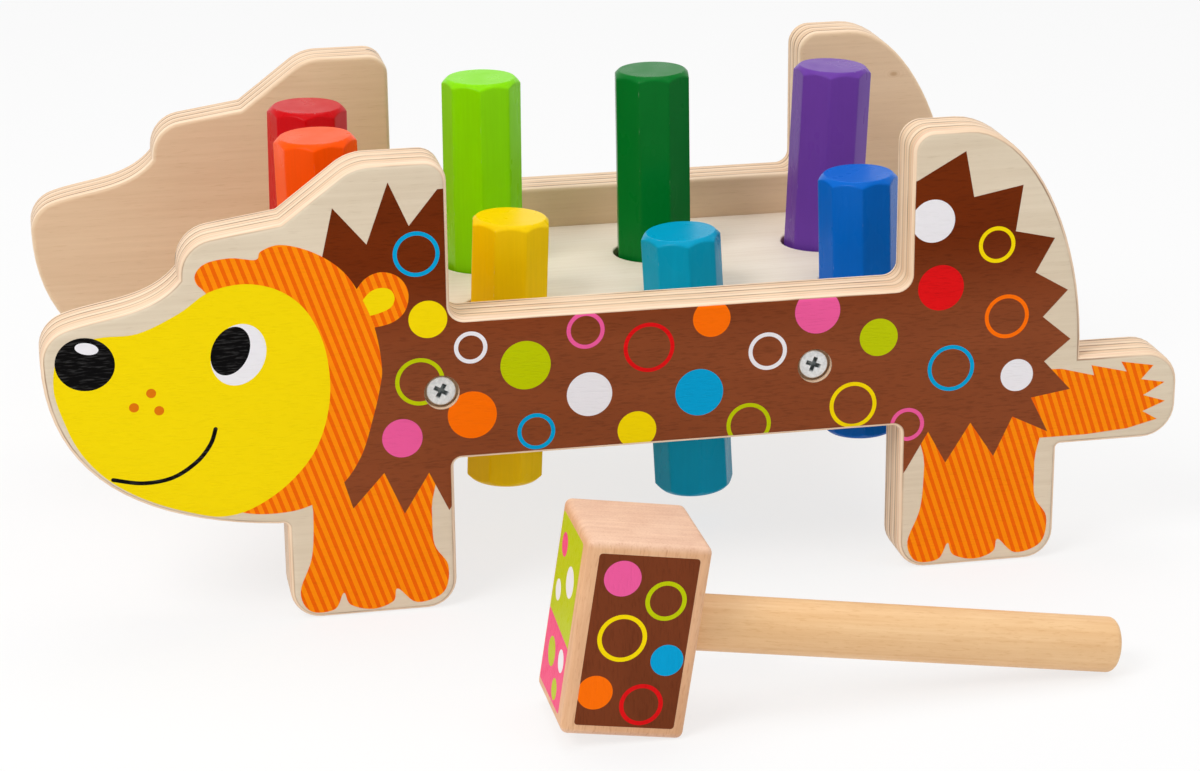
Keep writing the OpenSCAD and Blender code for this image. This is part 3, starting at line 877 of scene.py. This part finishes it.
def screw_shape():
    """One screw that points down, with the middle of its head at the origin."""
    shell = Shell()

    def level(loop, depth):
        return shell.ring([(x * MM, y * MM, -depth * MM) for x, y in loop])

    cone_end = HEAD_LAND + SCREW_HEAD_R - SCREW_SHANK_R
    profile = [(SCREW_HEAD_R - HEAD_EASE, 0), (SCREW_HEAD_R, HEAD_EASE), (SCREW_HEAD_R, HEAD_LAND)]
    profile += [(SCREW_SHANK_R, cone_end)]
    depth = THREAD_FROM
    while depth < SCREW_L - TIP_L:
        profile += [(SCREW_SHANK_R - THREAD_CUT, depth), (SCREW_SHANK_R, depth + THREAD_PITCH / 2)]
        depth += THREAD_PITCH
    profile += [(SCREW_SHANK_R - THREAD_CUT, depth), (TIP_R, SCREW_L)]
    circles = [ellipse(0, 0, radius) for radius, _ in profile]
    hoops = [level(circle, depth) for circle, (_, depth) in zip(circles, profile)]
    shell.walls(hoops)
    wide, narrow = cross(CROSS_ARM, CROSS_HALF), cross(FLOOR_ARM, FLOOR_HALF)
    mouth, floor = level(wide, 0), level(narrow, CROSS_DEPTH)
    shell.walls([mouth, floor])
    shell.lid([circles[0], wide], [hoops[0], mouth], flip=False)
    shell.lid([narrow], [floor], flip=False)
    shell.lid([circles[-1]], [hoops[-1]], flip=True)
    return shell.mesh("screw_shape")


def screw_mesh(finish):
    x, z = panel_holes[0][0]
    tree = Tree("panel_screws", screw_shape(), Reach=abs(x) * 2 * MM, Spread=-screw_low.y * 2, Height=z * MM,
                Seed=4)
    reach, spread_y, height, seed = tree.inputs.values()
    grid = tree.node("GeometryNodeMeshGrid", {
        "Size X": reach, "Size Y": spread_y, "Vertices X": 2, "Vertices Y": 2})
    grid = tree.node("GeometryNodeTransform", {
        "Geometry": grid, "Translation": tree.node("ShaderNodeCombineXYZ", {2: height})})
    side = tree.node("GeometryNodeInputPosition").axes()[1]
    outwards = tree.node("ShaderNodeCombineXYZ", {1: side.math("SIGN")})
    facing = tree.node("FunctionNodeAlignRotationToVector", {"Vector": outwards}, axis="Z")
    turn = tree.node("FunctionNodeRandomValue", {2: LEAST_TURN, 3: MOST_TURN, 8: seed}, out=1)
    turn = tree.node("FunctionNodeAxisAngleToRotation", {"Axis": (0, 0, 1), "Angle": turn})
    facing = tree.node("FunctionNodeRotateRotation", {0: facing, 1: turn}, rotation_space="LOCAL")
    screws = tree.node("GeometryNodeInstanceOnPoints", {
        "Points": grid, "Instance": tree.shape, "Rotation": facing})
    return tree.mesh("panel_screws", screws, finish)


zinc, shader, place = new_finish("screw_zinc", 0.34, 0.5, metallic=0.6)
blotch = place.noise((0.9, 0.9, 0.9), 3.0, 3.0)
bright = blotch.ramp(0.3, 0.75).blend(srgb(238, 241, 242), srgb(204, 209, 211))
# Painted shade: the zinc turns dark from 0.22 to 0.75 mm below the top of the head, in the cross recess and
# down the sunk edge of the head.
sunk = -screw_low.y / MM - place.axes()[1].math("ABSOLUTE") / MM
sunk.ramp(0.22, 0.75).blend(bright, srgb(112, 119, 119)).into(shader, "Base Color")
blotch.ramp(0.3, 0.7, 0.28, 0.46).into(shader, "Roughness")
bump(place.noise((3, 3, 3), 2.0, 1.0), shader, 0.03, 0.4)
screws = as_piece("panel_screws", screw_mesh(zinc), zinc, crease=30)
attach(screws, "bench")
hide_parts(*[node for node in frame["nodes"] if node.startswith("screw_")])

# Mallet
# A softened block of beech on a turned dowel, which is glued into a blind hole in the block. It lies in
# front of the bench, tipped over onto the end of its handle.
HEAD_ROUND = 2.1
HEAD_STEPS = 5
HANDLE_AROUND = 64
END_GRAIN = (2.2, 0.6)
END_LIGHT, END_DARK, END_SHARE = (242, 206, 180), (214, 166, 140), 0.75

handle_points = [v.co for v in frame["nodes"]["mallet_handle"].data.vertices]
head_points = [v.co for v in frame["nodes"]["mallet_head"].data.vertices]
head_middle = sum(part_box("mallet_head"), Vector()) / 2
handle_middle = sum(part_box("mallet_handle"), Vector()) / 2
handle_way = (handle_middle - head_middle).normalized()
head_up = (Vector((0, 0, 1)) - handle_way * handle_way.z).normalized()
head_across = head_up.cross(handle_way)
mallet_turn = Matrix((handle_way, head_across, head_up)).transposed().to_4x4()
mallet_stand = Matrix.Translation(head_middle) @ mallet_turn


def spread(points, way):
    reach = [(p - head_middle).dot(way) for p in points]
    return min(reach), max(reach)


head_box = [spread(head_points, way) for way in (handle_way, head_across, head_up)]


def beech(name, light, dark, along):
    """Beech: fine straight grain, with the short dark flecks that mark this wood."""
    finish, shader, place = new_finish(name, 0.46, 0.4)
    local = place.node("ShaderNodeMapping", {
        "Vector": place, "Location": head_middle, "Rotation": mallet_turn.to_euler()}, vector_type="TEXTURE")
    waves = [0.008 if axis == along else wave for axis, wave in enumerate((0.05, 0.7, 0.6))]
    rings_seen = local.noise(waves, 3.0, 4.0).ramp(0.36, 0.64)
    fibres = local.drawn(along, 0.03, 1.6, 3.0, 6.0).ramp(0.3, 0.7)
    flecks = local.drawn(along, 0.3, 2.0, 3.0, 8.0).ramp(0.56, 0.7)
    clouds = local.drawn(along, 0.05, 0.16, 3.0, 12.0).ramp(0.35, 0.65)
    tone = rings_seen * 0.25 + fibres * 0.25 + flecks * 0.4 + clouds * 0.25
    colour = tone.blend(srgb(*light), srgb(*dark))
    if along == 2:
        height = local.axes()[2].math("ABSOLUTE")
        end_grain = height.ramp(*(head_box[2][1] - depth * MM for depth in END_GRAIN))
        colour = (end_grain * END_SHARE).blend(colour, tone.blend(srgb(*END_LIGHT), srgb(*END_DARK)))
    colour.into(shader, "Base Color")
    fibres.ramp(0.0, 1.0, 0.4, 0.54).into(shader, "Roughness")
    bump(1.0 - flecks - fibres * 0.3, shader, 0.04, 0.3)
    return finish


head_finish = beech("mallet_beech", (236, 188, 144), (203, 146, 104), along=2)
handle_finish = beech("handle_beech", (240, 199, 149), (220, 170, 115), along=0)

block = bmesh.new()
bmesh.ops.create_cube(block, size=1.0)
for vertex in block.verts:
    vertex.co = Vector(high if c > 0 else low for c, (low, high) in zip(vertex.co, head_box))
bmesh.ops.bevel(
    block, geom=block.edges[:], offset=HEAD_ROUND * MM, segments=HEAD_STEPS, profile=0.5, affect="EDGES")
head_mesh = bpy.data.meshes.new("mallet_block")
block.to_mesh(head_mesh)
block.free()
head_mesh.transform(mallet_stand)
head = as_piece("mallet_block", head_mesh, head_finish, crease=30)
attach(head, "mallet")
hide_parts("mallet_head")

handle_low, handle_high = spread(handle_points, handle_way)
handle_r = spread(handle_points, head_across)[1]
shell = Shell()
profile = [(handle_low, 0.0), (handle_low, handle_r)]
profile += [(handle_high - gap, handle_r - drop) for gap, drop in rounding(HEAD_ROUND * MM, HEAD_STEPS)]
profile += [(handle_high, 0.0)]
hoops = []
for x, radius in profile:
    angles = [2 * pi * i / HANDLE_AROUND for i in range(HANDLE_AROUND)]
    hoops.append(shell.ring([mallet_stand @ Vector((x, radius * cos(a), radius * sin(a))) for a in angles]))
shell.walls(hoops)
handle = shell.piece("mallet_dowel", handle_finish)
face_outwards(handle.data, merge=1e-7)
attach(handle, "mallet")
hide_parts("mallet_handle")

# Printing on the mallet
# Inked panels with rounded corners on three faces of the block: dark brown with dots and rings on the
# two long sides, and lime above rose, with dots, on the end across from the handle.
PANEL_MARGIN = 3.4
PANEL_CORNER = 1.0
CORNER_STEPS = 6
END_TRIM = 1
END_SHIFT = -2.0


def rounded_box(half_w, half_h, radius):
    corners = [(half_w - radius, half_h - radius, 0), (radius - half_w, half_h - radius, 90),
               (radius - half_w, radius - half_h, 180), (half_w - radius, radius - half_h, 270)]
    turns = [90 * k / CORNER_STEPS for k in range(CORNER_STEPS + 1)]
    spots = [(x, z, radians(start + turn)) for x, z, start in corners for turn in turns]
    return [(x + radius * cos(angle), z + radius * sin(angle)) for x, z, angle in spots]


def mallet_place(way, across, reach):
    """Where a point of a face of the block lies: that face looks along way, and its first axis is across."""
    def place(x, z, depth):
        return head_middle + across * (x * MM) + head_up * (z * MM) + way * (reach - depth * MM)

    return place


SIDE_MARKS = [
    (-7, 19, 5.4, "pink", False), (6.5, 13, 6, "lime", True), (-4.5, 1, 7.2, "yellow", True),
    (9.5, -5, 4.8, "cyan", False), (-10, -16, 5.2, "orange", False), (4, -19, 6.4, "red", True)]
END_MARKS = [(-9, 18, 3.6, "rose", False), (3, 11, 4.6, "white", False), (-9, 4, 3.2, "white", False),
             (6, -12, 3.4, "white", False), (-6, -14, 4.4, "lime", False), (3, -22, 3.2, "lime", False)]
END_FOOT = [(-40, -40), (40, -40), (40, -8), (-40, -2)]
mallet_ink = ink_finish("mallet_ink", along=2, sunk=0.15)
half_w, half_d, half_h = ((high - low) / 2 / MM - PANEL_MARGIN for low, high in head_box)
side_field = rounded_box(half_w, half_h, PANEL_CORNER)
end_field = [(x + END_SHIFT, z) for x, z in rounded_box(half_d - END_TRIM, half_h, PANEL_CORNER)]
side_print = [(side_field, "umber")] + spots_and_rings(SIDE_MARKS, "umber")
end_print = [(end_field, "lime"), (END_FOOT, "rose")] + spots_and_rings(END_MARKS, "lime")
mallet_prints = {
    "mallet_front_print": (side_field, side_print, -head_across, handle_way, -head_box[1][0]),
    "mallet_back_print": (side_field, side_print, head_across, -handle_way, head_box[1][1]),
    "mallet_end_print": (end_field, end_print, -handle_way, -head_across, -head_box[0][0])}
for name, (field, layers, *where) in mallet_prints.items():
    film = printed(name, field, [], layers, [], [], mallet_place(*where), mallet_ink)
    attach(film, "mallet")

# Studio
# A pale floor that keeps a soft shadow, a white room, three large soft lamps, and the camera where the
# photographer's stood.
FLOOR_REACH = 6.0
FLOOR_GREY = 0.86
FLOOR_GLOW, FLOOR_SEEN = 0.25, 0.49
ROOM_LIGHT, ROOM_SEEN = 0.5, 0.5
LAMP_AIM = Vector((0, 0, 0.06))
LAMPS = {
    "key": ((-1.1, -0.9, 1.5), 0.9, 17), "fill": ((1.3, -1.2, 0.8), 1.0, 3),
    "overhead": ((0.1, 0.25, 2.0), 1.8, 16)}
IMAGE_W = 1200
LENS_PIXELS = 3099.97
SENSOR_W = 36
NEAREST = 0.01
CAMERA_SPOT = Vector((-0.17823, -0.97725, 0.38665))
CAMERA_RIGHT = Vector((0.98210614, -0.18807434, -0.00977635)).normalized()
CAMERA_AHEAD = Vector((0.17458054, 0.92865586, -0.32729182)).normalized()

floor_mesh = bpy.data.meshes.new("floor")
floor_corners = [(x * FLOOR_REACH, y * FLOOR_REACH, 0) for x, y in ((-1, -1), (1, -1), (1, 1), (-1, 1))]
floor_mesh.from_pydata(floor_corners, [], [(0, 1, 2, 3)])
floor = bpy.data.objects.new("floor", floor_mesh)
bpy.context.scene.collection.objects.link(floor)
paper = bpy.data.materials.new("paper")
paper.use_nodes = True
tree = paper.node_tree
tree.nodes.remove(tree.nodes["Principled BSDF"])


def seen_rays(tree):
    """1 where the eye, a reflection or a see-through piece looks, 0 for light on its way to a surface."""
    ray = tree.nodes.new("ShaderNodeLightPath")
    kinds = ("Camera", "Glossy", "Transmission")
    eye, gloss, through = (Wire(ray.outputs["Is %s Ray" % kind]) for kind in kinds)
    return eye.math("MAXIMUM", gloss.math("MAXIMUM", through))


matt = Wire.add(tree, "ShaderNodeBsdfDiffuse", {"Color": (FLOOR_GREY, FLOOR_GREY, FLOOR_GREY, 1.0)})
glow = Wire.add(tree, "ShaderNodeEmission", {"Color": (1.0, 1.0, 1.0, 1.0), "Strength": 1.0})
share = seen_rays(tree) * FLOOR_SEEN + FLOOR_GLOW
mixed = Wire.add(tree, "ShaderNodeMixShader", {0: share, 1: matt, 2: glow})
mixed.into(tree.nodes["Material Output"], "Surface")
floor_mesh.materials.append(paper)

world = bpy.data.worlds.new("room")
world.use_nodes = True
world.node_tree.nodes["Background"].inputs["Color"].default_value = (1.0, 1.0, 1.0, 1.0)
room_light = seen_rays(world.node_tree) * ROOM_SEEN + ROOM_LIGHT
room_light.into(world.node_tree.nodes["Background"], "Strength")
bpy.context.scene.world = world

for name, (spot, size, watts) in LAMPS.items():
    lamp = bpy.data.lights.new(name, "AREA")
    lamp.shape = "DISK"
    lamp.size = size
    lamp.energy = watts
    stand = bpy.data.objects.new(name, lamp)
    stand.location = spot
    stand.rotation_euler = (LAMP_AIM - Vector(spot)).to_track_quat("-Z", "Y").to_euler()
    bpy.context.scene.collection.objects.link(stand)

camera = bpy.data.cameras.new("camera")
camera.sensor_fit = "HORIZONTAL"
camera.sensor_width = SENSOR_W
camera.lens = SENSOR_W * LENS_PIXELS / IMAGE_W
camera.clip_start = NEAREST
view = bpy.data.objects.new("camera", camera)
camera_up = CAMERA_RIGHT.cross(CAMERA_AHEAD)
turned = Matrix((CAMERA_RIGHT, camera_up, -CAMERA_AHEAD)).transposed().to_4x4()
view.matrix_world = Matrix.Translation(CAMERA_SPOT) @ turned
bpy.context.scene.collection.objects.link(view)
bpy.context.scene.camera = view
bpy.context.scene.view_settings.view_transform = "Standard"
